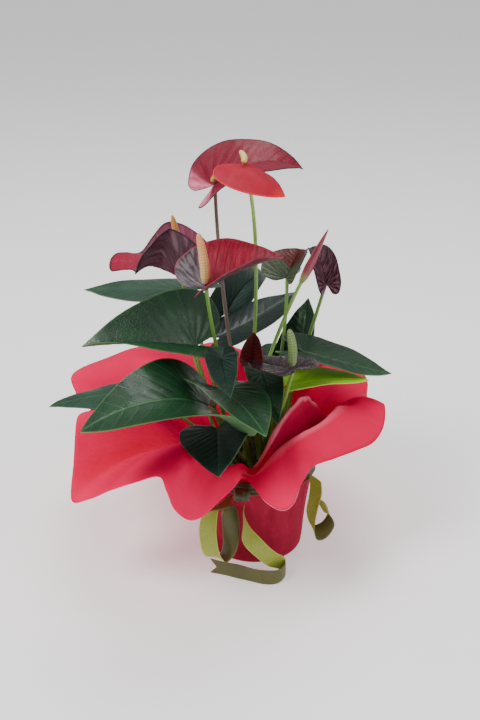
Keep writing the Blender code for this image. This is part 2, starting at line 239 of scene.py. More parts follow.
def smooth_through(points, n):
    """n points evenly along a smooth curve through the given ones."""
    p = np.asarray(points, float)
    p = np.vstack([2 * p[0] - p[1], p, 2 * p[-1] - p[-2]])
    m, out = len(p) - 3, []
    for s in np.linspace(0, m, n):
        i = min(int(s), m - 1)
        t = s - i
        a, b, c, d = p[i:i + 4]
        out.append(0.5 * (2 * b + (c - a) * t + (2 * a - 5 * b + 4 * c - d) * t ** 2
                          + (3 * b - a - 3 * c + d) * t ** 3))
    return np.array(out)


def arc_between(a, b, c, n):
    """n points on the curve from a to c that leaves and arrives pointing at b."""
    t = np.linspace(0, 1, n)[:, None]
    a, b, c = np.array(a), np.array(b), np.array(c)
    return (1 - t) ** 2 * a + 2 * t * (1 - t) * b + t ** 2 * c


def whole_turn(n):
    return np.linspace(0, 2 * math.pi, n)


def ring_at(radius, turn, z):
    """Points round the object's axis."""
    return np.stack([radius * np.cos(turn), radius * np.sin(turn), z + 0 * turn], -1)


def rolled(name, path, radii, sides, maps=None):
    """A closed round skin along a path; radii is one number a station, or one for each point round it."""
    path = np.asarray(path, float)
    radii = np.asarray(radii, float)
    radii = radii[:, None] * np.ones(sides + 1) if radii.ndim == 1 else radii
    along = np.gradient(path, axis=0)
    along /= np.linalg.norm(along, axis=1)[:, None]
    side = np.cross(along[0], (0.3, 1, 0.2))
    turn = whole_turn(sides + 1)[:, None]
    rings = []
    for p, t, r in zip(path, along, radii):
        side = side - t * side.dot(t)
        side /= np.linalg.norm(side)
        rings.append(p + r[:, None] * (np.cos(turn) * side + np.sin(turn) * np.cross(t, side)))
    first, last = ([np.repeat(path[k:k + 1], sides + 1, 0)] for k in (0, len(path) - 1))
    return net(name, np.concatenate([first, rings, last]), maps, outward=True)


# %% [markdown]
# ## The shape of an anthurium blade
# Leaves and spathes share one plan: a heart whose stalk meets it at the notch, where all the main veins start. One
# half outline runs from the notch round the lobe to the tip. Rings of points between the notch and that outline make
# the skin; each half is then folded up from the midrib, curled towards its edge, and the midrib is bent to droop.

# %% Blade outlines
LEAF_OUTLINE = [(.07, -.05), (.30, -.22), (.62, -.26), (.90, -.14), (1.0, .06), (.93, .28), (.72, .52), (.42, .75),
                (.16, .91), (.0, 1.0)]
SPATHE_OUTLINE = [(.07, -.03), (.34, -.20), (.68, -.21), (.93, -.07), (1.0, .14), (.93, .36), (.74, .58), (.45, .79),
                  (.17, .93), (.0, 1.0)]


def orient(heading, pitch, roll):
    """Columns: the blade's right, its midrib direction, and its upper face."""
    h, p, r = (math.radians(v) for v in (heading, pitch, roll))
    ahead = np.array([math.sin(h) * math.cos(p), math.cos(h) * math.cos(p), math.sin(p)])
    level = np.array([math.cos(h), -math.sin(h), 0])
    up = np.cross(level, ahead)
    return np.stack([level * math.cos(r) - up * math.sin(r), ahead, up * math.cos(r) + level * math.sin(r)], 1)


def folded_half(x, half_width, fold, curl):
    f, k = np.radians(fold), math.radians(curl) / half_width + 1e-6
    return (np.sin(f + k * x) - np.sin(f)) / k, (np.cos(f) - np.cos(f + k * x)) / k


def bent(angle, y, z):
    k = angle + 1e-6
    return np.sin(k * y) / k + z * np.sin(k * y), -(1 - np.cos(k * y)) / k + z * np.cos(k * y)


def blade(name, spec, outline, ribs=(9, 5), quilt=.0004, wave=.0010, flatten=0.0, twist=0.0, across=64, rings=26):
    """A heart-shaped skin with raised fields between its veins and a slightly waved margin."""
    junction, angles, length, width, fold, curl, (droop, lobes, sway) = spec
    half = smooth_through(outline, across) * [width / 2, length]
    margin = np.vstack([half * [-1, 1], half[::-1][1:]])
    ring = np.linspace(0, 1, rings + 1)[:, None]
    flat = ring[..., None] * margin
    x, y = flat[..., 0], flat[..., 1]
    xn, yn = 2 * x / width, y / length
    ahead = yn - .42 * abs(xn) ** 1.15
    number = np.where(ahead > 0, ribs[0] * ahead, ribs[1] * ahead / (np.hypot(xn, yn) + 1e-4))
    towards_tip = np.clip((yn - .30) / .3, 0, 1)
    left, right = (folded_half(abs(x), width / 2, fold[i] * (1 - flatten * towards_tip), curl[i]) for i in (0, 1))
    X, Z = np.where(x < 0, -left[0], right[0]), np.where(x < 0, left[1], right[1])
    fields = (0.5 - 0.5 * np.cos(2 * math.pi * number)) * np.clip(ring * 3, 0, 1) * np.clip(3.2 - 3 * ring, .2, 1)
    step = np.linspace(0, 1, x.shape[1])
    phase = dice.uniform(0, 6.28, 3)
    ruffle = (np.sin(2 * math.pi * 2.5 * step + phase[0]) + .6 * np.sin(2 * math.pi * 5.5 * step + phase[1])
              + .25 * np.sin(2 * math.pi * 11 * step + phase[2]))
    rib = np.exp(-(xn / .035) ** 2) * np.clip(1 - ring, 0, 1)
    Z = Z + quilt * fields + wave * ruffle * ring ** 3 * np.clip(abs(xn) * 4, 0, 1) - .0006 * rib
    turned = np.radians(twist) * towards_tip
    X, Z = X * np.cos(turned) - Z * np.sin(turned), X * np.sin(turned) + Z * np.cos(turned)
    down, back = bent(math.radians(droop) / length, y, Z), bent(-math.radians(lobes) / length, y, Z)
    Y, Z = np.where(y >= 0, down[0], back[0]), np.where(y >= 0, down[1], back[1])
    ks = math.radians(sway) / length + 1e-6
    side = (1 - np.cos(ks * Y)) / ks + X * np.cos(ks * Y)
    Y = np.sin(ks * Y) / ks - X * np.sin(ks * Y)
    points = np.stack([side, Y, Z], -1) @ orient(*angles).T + np.array(junction)
    return net(name, points, {"veins": np.stack([number, xn], -1), "blade": np.stack([x, y], -1)})


# %% [markdown]
# ## Leaf finish
# An anthurium leaf is leathery and glossy: deep green, with slightly paler ribs, a thin pale margin and a duller,
# lighter underside. The finish reads the blade's own vein numbers: where the number is whole there is a rib. A cell
# pattern between the ribs gives the fine net of veins, and soft noise changes colour and gloss from place to place.

# %% Leaf finish
def vein_lines(tree, width):
    """The vein numbers; 1 on the main ribs and 0 between them; the midrib; and the way out to the margin."""
    number, across, _ = surface_map(tree, "veins")
    whole = calc(tree, "ABSOLUTE", calc(tree, "SUBTRACT", calc(tree, "FRACT", calc(tree, "ADD", number, 20.5)), .5))
    ribs = fade(tree, whole, width, 0.0)
    midrib = fade(tree, calc(tree, "ABSOLUTE", across), .030, .006)
    _, out, _ = surface_map(tree, "UVMap")
    return number, ribs, midrib, out


def leaf_finish(name, deep, fresh, rib, edge, gloss=0.34, coat=0.10):
    mat, tree, shader = new_finish(name, gloss, Coat_Weight=coat, Coat_Roughness=0.14, Specular_IOR_Level=0.36)
    _, ribs, midrib, out = vein_lines(tree, .075)
    _, _, sheet = surface_map(tree, "blade")
    fine = cell_walls(tree, sheet, 420.0, .10)
    colour = blend(tree, fade(tree, grain(tree, 28), .35, .68), deep, fresh)
    for veins, share in ((fine, .16), (ribs, .26), (midrib, .6)):
        colour = tint(tree, colour, rib, veins, share)
    paint(tree, shader, blend(tree, fade(tree, out, .975, 1.0, 0, .7), colour, edge))
    uneven_gloss(tree, shader, grain(tree, 60), gloss - .06, gloss + .14, end=.75)
    pores = calc(tree, "MULTIPLY", grain(tree, 900, 2), .25)
    height = calc(tree, "SUBTRACT", pores, calc(tree, "MULTIPLY", fine, .5))
    height = calc(tree, "SUBTRACT", height, calc(tree, "ADD", ribs, midrib))
    relief(tree, shader, height, .00022, .8)
    return mat


leaf_top = leaf_finish("leaf_gloss_green", (.003, .024, .009), (.007, .046, .014), (.035, .13, .035), (.07, .18, .05))
# A darker copy of the leaf finish: painted shade for leaves that sit behind and under the others.
leaf_in_shade = leaf_finish("leaf_gloss_painted_shade", (.002, .011, .009), (.004, .022, .013), (.018, .060, .03), (.04, .11, .05))
leaf_grey = leaf_finish("leaf_gloss_grey", (.008, .038, .020), (.014, .062, .030), (.05, .13, .06), (.08, .19, .08),
                        .40)
leaf_back = leaf_finish("leaf_underside", (.030, .090, .030), (.045, .125, .040), (.12, .26, .09), (.12, .27, .09),
                        .52, .05)
lime_top = leaf_finish("young_leaf_lime", (.38, .80, .008), (.50, .94, .02), (.66, .95, .12), (.45, .42, .05), .42)
lime_back = leaf_finish("young_leaf_underside", (.26, .55, .03), (.36, .66, .05), (.50, .75, .14), (.5, .5, .08),
                        .5, .05)
print("leaf finishes:", [m.name for m in bpy.data.materials if "leaf" in m.name])

# %% [markdown]
# ## Leaves
# Fourteen leaves, each with its own lean, size, fold and droop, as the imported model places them. Each is the same
# heart blade given its own numbers: where the stalk meets it, its heading, pitch and roll, its length and width, and
# how its two halves fold and curl. A mirrored copy of one leaf would look false, so none is repeated.

# %% Make the leaves
LEAVES = {
    "01": ((-.055, -.039, .230), (-115, 17, -17), 0.102, 0.101, (45, 35), (-37, 25), (30, 1, 20)),
    "02": ((-.067, .050, .249), (-73, -2, -2), 0.111, 0.074, (-2, -2), (4, -5), (10, -10, 3)),
    "03": ((-.034, .033, .207), (61, 12, 13), 0.094, 0.081, (9, 12), (-55, 29), (-9, -8, -9)),
    "04": ((-.029, .091, .209), (30, 32, 17), 0.108, 0.051, (41, 25), (13, 15), (59, -10, 7)),
    "05": ((.043, .040, .179), (19, 50, -27), 0.065, 0.058, (14, 20), (15, 16), (-3, -10, -5)),
    "06": ((.043, -.007, .210), (102, -12, 11), 0.085, 0.065, (3, 5), (-15, 41), (1, -10, -8)),
    "07": ((.031, -.026, .184), (92, 16, 10), 0.073, 0.058, (1, 9), (-25, 38), (18, -10, 7)),
    "08": ((-.042, -.096, .200), (-136, 40, -36), 0.125, 0.099, (14, -14), (52, 19), (90, -43, -11)),
    "09": ((-.114, .0, .164), (-97, 1, -4), 0.084, 0.054, (-3, 0), (3, -17), (16, -10, -1)),
    "10": ((-.035, -.077, .167), (178, -1, 11), 0.059, 0.068, (13, 1), (1, 2), (27, -13, 5)),
    "11": ((-.031, -.087, .212), (148, 2, -9), 0.074, 0.074, (-3, 0), (3, 38), (22, -12, -1)),
    "12": ((-.031, -.086, .240), (172, -17, 6), 0.052, 0.029, (12, 8), (17, 19), (-9, -10, -4)),
    "13": ((.005, -.031, .199), (167, -18, 3), 0.059, 0.036, (17, 15), (13, 18), (12, -10, -2)),
    "14": ((.030, .080, .160), (35, -3, 0), 0.080, 0.060, (8, 12), (15, 15), (25, -10, 5)),
}
LEAF_THICKNESS = .0007
# Leaves 03, 04, 10 and 12 take the painted-shade copy of the leaf finish.
LEAF_TONES = {"02": leaf_grey, "09": leaf_grey, "10": leaf_in_shade, "03": leaf_in_shade, "04": leaf_in_shade, "12": leaf_in_shade,
              "07": lime_top}
for key, spec in LEAVES.items():
    top = LEAF_TONES.get(key, leaf_top)
    leaf = blade("leaf_blade_" + key, spec, LEAF_OUTLINE)
    dress(leaf, [top, lime_back if top == lime_top else leaf_back],
          ["leaf_" + key], LEAF_THICKNESS, back=1)
print("leaves:", len(LEAVES), "with", len(leaf.data.polygons), "faces each")

# %% [markdown]
# ## Stalks
# Leaf stalks and flower stalks leave the crown upright, then lean out. A stalk is a round tube that is thicker at
# its foot, where it sheathes the next one, and swells a little just under a leaf, at the joint that turns the leaf to
# the light. Long faint ridges and a change from pale foot to greener top keep it from looking like a wire.

# %% Stalk finish and stalks
def stalk_finish(name, low, high, streak):
    mat, tree, shader = new_finish(name, .38, Coat_Weight=.12, Coat_Roughness=.2)
    round_, along, _ = surface_map(tree, "UVMap")
    lines = lengthwise(tree, round_, along, (26.0, 3.0), 1.0, 2, .5)
    colour = blend(tree, fade(tree, along, .1, .9), low, high)
    paint(tree, shader, tint(tree, colour, streak, fade(tree, lines, .45, .7), .45))
    uneven_gloss(tree, shader, grain(tree, 90), .30, .48)
    relief(tree, shader, lines, .0003, .7)
    return mat


stalk_green = stalk_finish("stalk_fresh_green", (.16, .26, .05), (.20, .38, .06), (.07, .20, .03))
stalk_bright = stalk_finish("stalk_bright_green", (.20, .36, .06), (.30, .56, .10), (.12, .32, .04))
stalk_brown = stalk_finish("stalk_grey_brown", (.13, .09, .06), (.20, .13, .10), (.06, .045, .03))
stalk_tan = stalk_finish("stalk_tan", (.24, .20, .09), (.34, .26, .13), (.14, .12, .05))
GROUND, STALK_RISE, LEAF_STALK_RADII = .0900, .0060, (.0017, .0013)


def stem(name, foot, control, top, radii, finish, slot, node_name, joint=.30):
    """A stalk from just inside the soil at foot to top, swollen at its foot and by joint near its top."""
    path = arc_between((*foot, GROUND + STALK_RISE), control, top, 34)
    path = np.vstack([[(*foot, GROUND - .004)], [(*foot, GROUND + .001)], path])
    run = np.concatenate([[0], np.cumsum(np.linalg.norm(np.diff(path, axis=0), axis=1))])
    left = run[-1] - run
    radius = np.interp(run / run[-1], [0, 1], radii)
    radius = radius * (1 + .55 * np.exp(-run / .016) + joint * np.exp(-((left - .004) / .005) ** 2))
    turn = whole_turn(15)
    ridged = radius[:, None] * (1 + .03 * np.cos(5 * turn) + .02 * np.cos(3 * turn + 6 * run[:, None] / run[-1]))
    dress(rolled(name, path, ridged, 14), [finish], [node_name], sharp=70)
    return run[-1]


def under(spec):
    """The point just under the junction of a blade, where its stalk ends."""
    return np.array(spec[0]) - orient(*spec[1])[:, 2] * .0010


PETIOLES = {
    "01": ((-.022, -.011), (-.046, -.016, .172)), "02": ((-.019, .018), (-.071, .023, .185)),
    "03": ((-.008, .017), (-.024, .027, .162)), "04": ((-.005, .024), (-.027, .054, .162)),
    "05": ((.021, .018), (.031, .020, .139)), "06": ((.027, .005), (.035, .021, .164)),
    "07": ((.021, -.012), (.007, .003, .126)), "08": ((-.016, -.025), (-.040, -.043, .142)),
    "09": ((-.028, .004), (-.070, .003, .140)), "10": ((-.008, -.027), (-.021, -.065, .150)),
    "11": ((-.001, -.022), (-.017, -.044, .162)), "12": ((-.016, .004), (-.015, -.002, .164)),
    "13": ((.006, -.011), (.003, -.014, .148)), "14": ((.008, .027), (.023, .062, .138)),
}
lengths = []
for key, place in PETIOLES.items():
    finish = {"07": stalk_bright, "10": stalk_tan}.get(key, stalk_green)
    lengths.append(stem("leaf_stalk_" + key, *place, under(LEAVES[key]), LEAF_STALK_RADII, finish, "stalk_green",
                        "petiole_" + key))
print("leaf stalks from", round(min(lengths), 3), "to", round(max(lengths), 3), "m long")

# %% [markdown]
# ## Spathe finishes
# A spathe is a coloured leaf, not a petal: stiff, waxy and veined like the green ones. This plant carries flowers of
# every age, from coral through crimson and mauve to nearly black, so the finish takes its colours as values. The
# streaks run along the ribs, which is how the older flowers turn dull and patchy.

# %% Spathe finish
def spathe_finish(name, ground, streak, rib, edge, tip=None, tip_from=(5.0, 8.0, .55, .98), lobes=None, streaks=.5,
                  ribs_show=.5, gloss=.36, edge_from=.955, coat=.08, depth=.0003):
    mat, tree, shader = new_finish(name, gloss, Coat_Weight=coat, Coat_Roughness=.14, Specular_IOR_Level=.24)
    number, ribs, midrib, out = vein_lines(tree, .16)
    along_ribs = lengthwise(tree, number, out, (2.2, 1.6), 1.4, 4, .62)
    _, _, sheet = surface_map(tree, "blade")
    cells = cell_walls(tree, sheet, 360.0, .12)
    colour = tint(tree, ground, streak, fade(tree, along_ribs, .42, .66), streaks)
    for veins, share in ((cells, .35), (ribs, 1), (midrib, 1)):
        colour = tint(tree, colour, rib, veins, share * ribs_show)
    if tip:
        near_tip = calc(tree, "MULTIPLY", fade(tree, out, *tip_from[2:]), fade(tree, number, *tip_from[:2]))
        colour = blend(tree, near_tip, colour, tip)
    if lobes:
        patchy = blend(tree, fade(tree, along_ribs, .40, .60), lobes[0], lobes[1])
        colour = blend(tree, fade(tree, number, lobes[2], lobes[2] - .8), colour, patchy)
    paint(tree, shader, blend(tree, fade(tree, out, edge_from, .995), colour, edge))
    uneven_gloss(tree, shader, grain(tree, 70), gloss - .08, gloss + .12)
    height = calc(tree, "SUBTRACT", calc(tree, "MULTIPLY", grain(tree, 700, 2), .3),
                  calc(tree, "ADD", calc(tree, "MULTIPLY", cells, .5), calc(tree, "ADD", ribs, midrib)))
    relief(tree, shader, height, depth, .8)
    return mat


DARK_RIM = (.035, .012, .012)
PETAL_FINISHES = {
    "1": (spathe_finish("raspberry_face", (.17, .003, .018), (.26, .008, .034), (.06, .004, .010), DARK_RIM,
                        ribs_show=.38, lobes=((.50, .09, .15), (.66, .20, .27), -2.3), gloss=.46, depth=.00014),
          spathe_finish("raspberry_back", (.66, .17, .24), (.54, .08, .14), (.34, .05, .09), (.30, .06, .08))),
    "2": (spathe_finish("coral_face", (.34, .001, .020), (.42, .002, .026), (.30, .002, .018), (.56, .03, .04),
                        tip=(.58, .022, .016), streaks=.4, ribs_show=.02, gloss=.62, coat=0, depth=.00002),
          spathe_finish("coral_back", (.78, .04, .05), (.82, .07, .07), (.70, .04, .06), (.84, .1, .1),
                        ribs_show=.3)),
    "3": (spathe_finish("mauve_face", (.17, .028, .062), (.30, .095, .15), (.085, .015, .035), DARK_RIM,
                        ribs_show=.4, tip=(.27, .004, .030), tip_from=(3.9, 5.0, -1, 0), coat=.02, gloss=.44,
                        depth=.0002),
          spathe_finish("mauve_back", (.085, .028, .048), (.22, .12, .155), (.030, .012, .018), DARK_RIM, streaks=.85,
                        tip=(.24, .004, .025), tip_from=(3.9, 5.0, -1, 0), coat=.02, gloss=.44, depth=.0002)),
    "4": (spathe_finish("crimson_face", (.20, .003, .017), (.46, .035, .075), (.12, .003, .012), (.26, .03, .05),
                        ribs_show=.3, lobes=((.020, .010, .014), (.13, .10, .115), -.5)),
          spathe_finish("crimson_back", (.10, .010, .020), (.22, .04, .06), (.05, .01, .02), (.24, .04, .06),
                        streaks=.8, lobes=((.012, .009, .011), (.15, .12, .135), -.5))),
    "5": (spathe_finish("bronze_face", (.050, .075, .042), (.075, .10, .06), (.24, .30, .19), (.03, .05, .02),
                        tip=(.12, .016, .012), tip_from=(1.4, 3.0, -1, 0), ribs_show=.6),
          spathe_finish("bronze_back", (.045, .070, .038), (.07, .10, .06), (.26, .32, .20), (.03, .05, .02),
                        tip=(.10, .018, .014), tip_from=(2.0, 4.0, -1, 0), ribs_show=.7)),
    "6": (spathe_finish("dark_plum_face", (.030, .005, .012), (.30, .13, .18), (.014, .004, .007), (.012, .010, .008),
                        streaks=.7),
          spathe_finish("dark_plum_back", (.034, .008, .017), (.38, .22, .27), (.010, .005, .008), (.03, .05, .03),
                        streaks=.9)),
    "7": (spathe_finish("black_cherry_face", (.013, .003, .008), (.085, .040, .058), (.008, .002, .004), DARK_RIM,
                        gloss=.22, coat=.16),
          spathe_finish("black_cherry_back", (.07, .02, .03), (.12, .05, .06), (.04, .012, .02), (.10, .04, .04))),
}
LOBE_RED = spathe_finish("upright_lobe_red", (.13, .014, .014), (.05, .022, .014), (.05, .010, .010), (.14, .04, .03),
                         streaks=.8)

# %% [markdown]
# ## Spathes
# Seven open spathes use the same heart blade as the leaves, with deeper quilting between the ribs. Each flower stalk
# rises behind the spathe's notch and meets it there.

# %% Make the spathes and their stalks
SPATHES = {
    "1": ((-.038, .019, .361), (88, 46, 15), 0.088, 0.079, (10, 6), (17, 23), (78, -10, 6)),
    "2": ((-.012, -.036, .393), (130, -17, 14), 0.045, 0.071, (-30, 8), (-14, -3), (27, 20, -12)),
    "3": ((-.068, .006, .278), (-84, 30, -14), 0.071, 0.100, (57, 17), (42, 14), (46, -15, 0)),
    "4": ((-.044, -.053, .291), (65, 24, 1), 0.078, 0.083, (33, 21), (-6, 23), (24, 46, -4)),
    "5": ((.030, .052, .261), (32, 41, 2), 0.039, 0.057, (24, 33), (2, 28), (26, -7, -11)),
    "6": ((.065, .020, .267), (-12, 49, 5), 0.056, 0.035, (34, 42), (9, 24), (59, -9, -1)),
    "7": ((.031, -.071, .222), (-50, -3, 5), 0.051, 0.067, (13, 13), (-2, -26), (5, -8, -12)),
}
FLOWER_STALKS = {
    "1": ((-.006, .009), (-.033, -.025, .258)), "2": ((-.010, -.004), (.010, .014, .322)),
    "3": ((-.018, -.004), (-.048, -.012, .211)), "4": ((-.005, -.015), (-.040, -.034, .225)),
    "5": ((.010, .013), (.030, .024, .203)), "6": ((.017, .006), (.048, .037, .190)),
    "7": ((.013, -.016), (.021, -.035, .155)), "8": ((.004, .003), (-.011, -.003, .161)),
}
PINCHED_OUTLINE = [(.07, -.03), (.34, -.20), (.68, -.21), (.93, -.07), (1.04, .14), (1.05, .30), (.92, .44),
                   (.56, .52), (.27, .58), (.20, .68), (.22, .82), (.21, .93), (.11, .985), (.0, 1.0)]
SPATHE_THICKNESS, FLOWER_RADII = .0008, (.0020, .0016)
# The young coral spathe is smooth; the mauve one is pinched before a flat, turned tip.
SPATHE_SHAPES = {"2": {"quilt": 0, "wave": .0002}, "3": {"outline": PINCHED_OUTLINE, "flatten": .9, "twist": 24}}
for key, spec in SPATHES.items():
    shape = {"outline": SPATHE_OUTLINE, "ribs": (8, 5), "quilt": .0005, "wave": .0012, **SPATHE_SHAPES.get(key, {})}
    spathe = blade("spathe_blade_" + key, spec, **shape)
    dress(spathe, PETAL_FINISHES[key], ["spathe_" + key], SPATHE_THICKNESS, back=1)
    finish = {"1": stalk_brown, "2": stalk_bright}.get(key, stalk_green)
    stem("flower_stem_" + key, *FLOWER_STALKS[key], under(spec), FLOWER_RADII, finish,
         "stalk_brown" if key == "1" else "stalk_green", "flower_stalk_" + key, joint=.12)
upright = ((-.003, -.047, .221), (10, 78, 0), .026, .032, (30, 30), (40, 40), (-20, 5, 0))
lobe = blade("upright_lobe", upright, SPATHE_OUTLINE, ribs=(8, 5), quilt=.0003, wave=.0006)
dress(lobe, [LOBE_RED], thickness=SPATHE_THICKNESS)
print("spathes:", len(SPATHES))

# %% [markdown]
# ## Spadices and the bud
# The spadix is the finger in the middle, covered by tiny flowers that sit in crossing spirals. Two waves round the
# finger, one turning each way, raise those bumps in the mesh itself. The bud is a spathe still rolled round its
# spadix: a pointed roll whose outer edge shows as one spiral step.

# %% Spadix and bud
def spadix_finish(name, low, high):
    mat, tree, shader = new_finish(name, .5, Subsurface_Weight=.08, Subsurface_Scale=.002)
    number, along, _ = surface_map(tree, "florets")
    colour = blend(tree, fade(tree, along, .25, .9), low, high)
    # Painted shade: darker in the dents between the florets.
    dent_shade = fade(tree, number, .1, .7)
    colour = blend(tree, dent_shade, tuple(c * .62 for c in low), colour)
    paint(tree, shader, colour)
    uneven_gloss(tree, shader, grain(tree, 400), .42, .62)
    relief(tree, shader, grain(tree, 1600, 2), .00012, .6)
    return mat


SPADICES = {
    "1": ((-.0397, .0181, .3654), (-.0361, .0064, .3785), .0024),
    "2": ((-.0118, -.0379, .3964), (-.0150, -.0199, .4008), .0026),
    "3": ((-.0686, .0051, .2823), (-.0752, .0051, .3378), .0036),
    "4": ((-.0448, -.0531, .2962), (-.0499, -.0531, .3401), .0040),
    "5": ((.0344, .0595, .2618), (.0432, .0742, .2634), .0026),
    "6": ((.0627, .0285, .2686), (.0584, .0446, .2727), .0026),
    "7": ((.0301, -.0700, .2265), (.0267, -.0700, .2604), .0040),
}
cream = spadix_finish("spadix_cream_orange", (.48, .50, .10), (.80, .24, .05))
peach = spadix_finish("spadix_peach", (.88, .54, .22), (.86, .32, .11))
pale = spadix_finish("spadix_pale_yellow", (.80, .62, .16), (.84, .60, .20))
olive = spadix_finish("spadix_green", (.16, .24, .07), (.22, .30, .10))
SPADIX_TONES = {"1": cream, "2": pale, "3": cream, "4": peach}
for key, (base, tip, radius) in SPADICES.items():
    base, tip = np.array(base), np.array(tip)
    sides, steps = 48, int(60 + 900 * np.linalg.norm(tip - base) / .05 / 6)
    t = 1 - (1 - np.linspace(0, 1, steps)) ** 1.6
    slim = np.interp(t, [0, .10, .45, .80, .93, .98, 1], [.62, .92, 1, .82, .58, .34, .10])
    around = whole_turn(sides + 1)
    rise = np.linalg.norm(tip - base) * t[:, None] / (radius * .62) * math.pi
    floret = np.cos(5 * around + rise) * np.cos(-5 * around + rise)
    skin = radius * slim[:, None] * (1 + .055 * floret)
    sway = np.array([.0016, 0, 0]) * np.sin(math.pi * t)[:, None]
    lift = np.concatenate([floret[:1], floret, floret[-1:]])
    heights = np.concatenate([[0], t, [1]])[:, None] * np.ones(sides + 1)
    spadix = rolled("spadix_finger_" + key, base + (tip - base) * t[:, None] + sway, skin, sides,
                    {"florets": np.stack([.5 + .5 * lift, heights], -1)})
    dress(spadix, [SPADIX_TONES.get(key, olive)],
          ["spadix_" + key], sharp=80)

bud_skin, tree, shader = new_finish("rolled_bud_red", .34, Coat_Weight=.25, Coat_Roughness=.15)
round_, along, _ = surface_map(tree, "UVMap")
lines = lengthwise(tree, round_, along, (22.0, 2.0), 1.0, 3, .5)
bud_colour = blend(tree, fade(tree, lines, .35, .65), (.20, .012, .036), (.36, .05, .085))
bud_colour = blend(tree, fade(tree, along, .26, .06), bud_colour, (.30, .34, .10))
paint(tree, shader, blend(tree, fade(tree, along, .84, 1.0), bud_colour, (.12, .012, .025)))
relief(tree, shader, lines, .0003, .8)
base, tip = np.array((.041, .010, .272)), np.array((.064, .010, .323))
t = np.linspace(0, 1, 60)
turn = np.linspace(0, 1, 37)
slim = np.interp(t, [0, .10, .28, .60, .85, 1], [.0019, .0036, .0042, .0030, .0014, .0004])
step = 1 + .20 * np.mod(turn[None, :] + 1.1 * t[:, None], 1.0) - .1
bud = rolled("rolled_bud", base + (tip - base) * t[:, None], slim[:, None] * step, 36)
dress(bud, [bud_skin], ["bud_8"], sharp=60)
stem("flower_stem_8", *FLOWER_STALKS["8"], base, FLOWER_RADII, stalk_bright, "stalk_green", "flower_stalk_8", joint=.1)
print("spadices:", len(SPADICES), "and one bud", round(float(np.linalg.norm(tip - base)) * 1000), "mm long")

# %% [markdown]
# ## Soil and nursery pot
# Inside the sheet is a plain thin plastic pot of peat with bark. The pot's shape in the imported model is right, so it
# stays and only gets a moulded plastic finish. The soil gets a rough top and loose crumbs, since bare flat soil is
# the first thing to look false when the plant is seen from above.

# %% Pot finish, soil and crumbs
plastic, tree, shader = new_finish("nursery_pot_plastic", .48)
paint(tree, shader, blend(tree, grain(tree, 40), (.11, .035, .022), (.16, .055, .035)))
uneven_gloss(tree, shader, grain(tree, 150), .40, .58)
relief(tree, shader, grain(tree, 1400, 2), .0001, .6)
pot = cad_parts["grow_pot"]
pot.data.materials.clear()
pot.data.materials.append(plastic)

peat, tree, shader = new_finish("peat_and_bark", .95)
crumb = grain(tree, 260, 5, .7)
paint(tree, shader, blend(tree, fade(tree, crumb, .4, .65), (.012, .007, .004), (.075, .042, .022)))
relief(tree, shader, crumb, .0012, 1.0)
(_, _, soil_low), (_, _, soil_high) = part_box("potting_soil")
FOOT_R, FOOT_Z, RIM_R, RIM_Z = .0397, .0039, .0501, .088
SOIL_SHOULDER = .0862


def soil_radius(z):
    return FOOT_R + (z - FOOT_Z) / (RIM_Z - FOOT_Z) * (RIM_R - FOOT_R)


turn = whole_turn(91)
rows = []
for f in np.linspace(0, 1, 26):
    lumps = np.sin(turn * 5 + 9 * f) + np.sin(turn * 11 - 14 * f) + np.sin(turn * 3 + 23 * f)
    rough = dice.normal(0, .00028, 91) * min(f * 4, 1)
    rough[-1] = rough[0]
    top = soil_high - .0014 - .0016 * f ** 2 + .0011 * lumps * min(f * 3, 1) / 3 + rough
    rows.append(ring_at(soil_radius(RIM_Z) * f, turn, top))
for z in SOIL_SHOULDER + (soil_low - SOIL_SHOULDER) * np.linspace(0, 1, 12)[1:]:
    rows.append(ring_at(soil_radius(z), turn, z))
rows.append(ring_at(0, turn, soil_low))
soil = net("peat_soil", rows, outward=True)
dress(soil, [peat], ["potting_soil"], sharp=60)

bpy.ops.mesh.primitive_ico_sphere_add(subdivisions=1, radius=.0018, location=(.01, .01, .0885))
crumbs = bpy.context.object
crumbs.name = crumbs.data.name = "soil_crumbs"
bpy.ops.object.transform_apply(location=True, rotation=True, scale=True)
bpy.ops.object.mode_set(mode="EDIT")
for k in range(190):
    a, r, size = dice.uniform(0, 6.283), .047 * math.sqrt(dice.uniform(0, 1)), dice.uniform(.0007, .0022)
    bpy.ops.mesh.primitive_ico_sphere_add(
        subdivisions=1, radius=size, location=(r * math.cos(a), r * math.sin(a), .0886),
        rotation=tuple(dice.uniform(0, 3, 3)), scale=(1, dice.uniform(.4, .9), .6))
bpy.ops.object.mode_set(mode="OBJECT")
dress(crumbs, [peat], sharp=30)
print("soil crumbs:", len(crumbs.data.polygons) // 20)
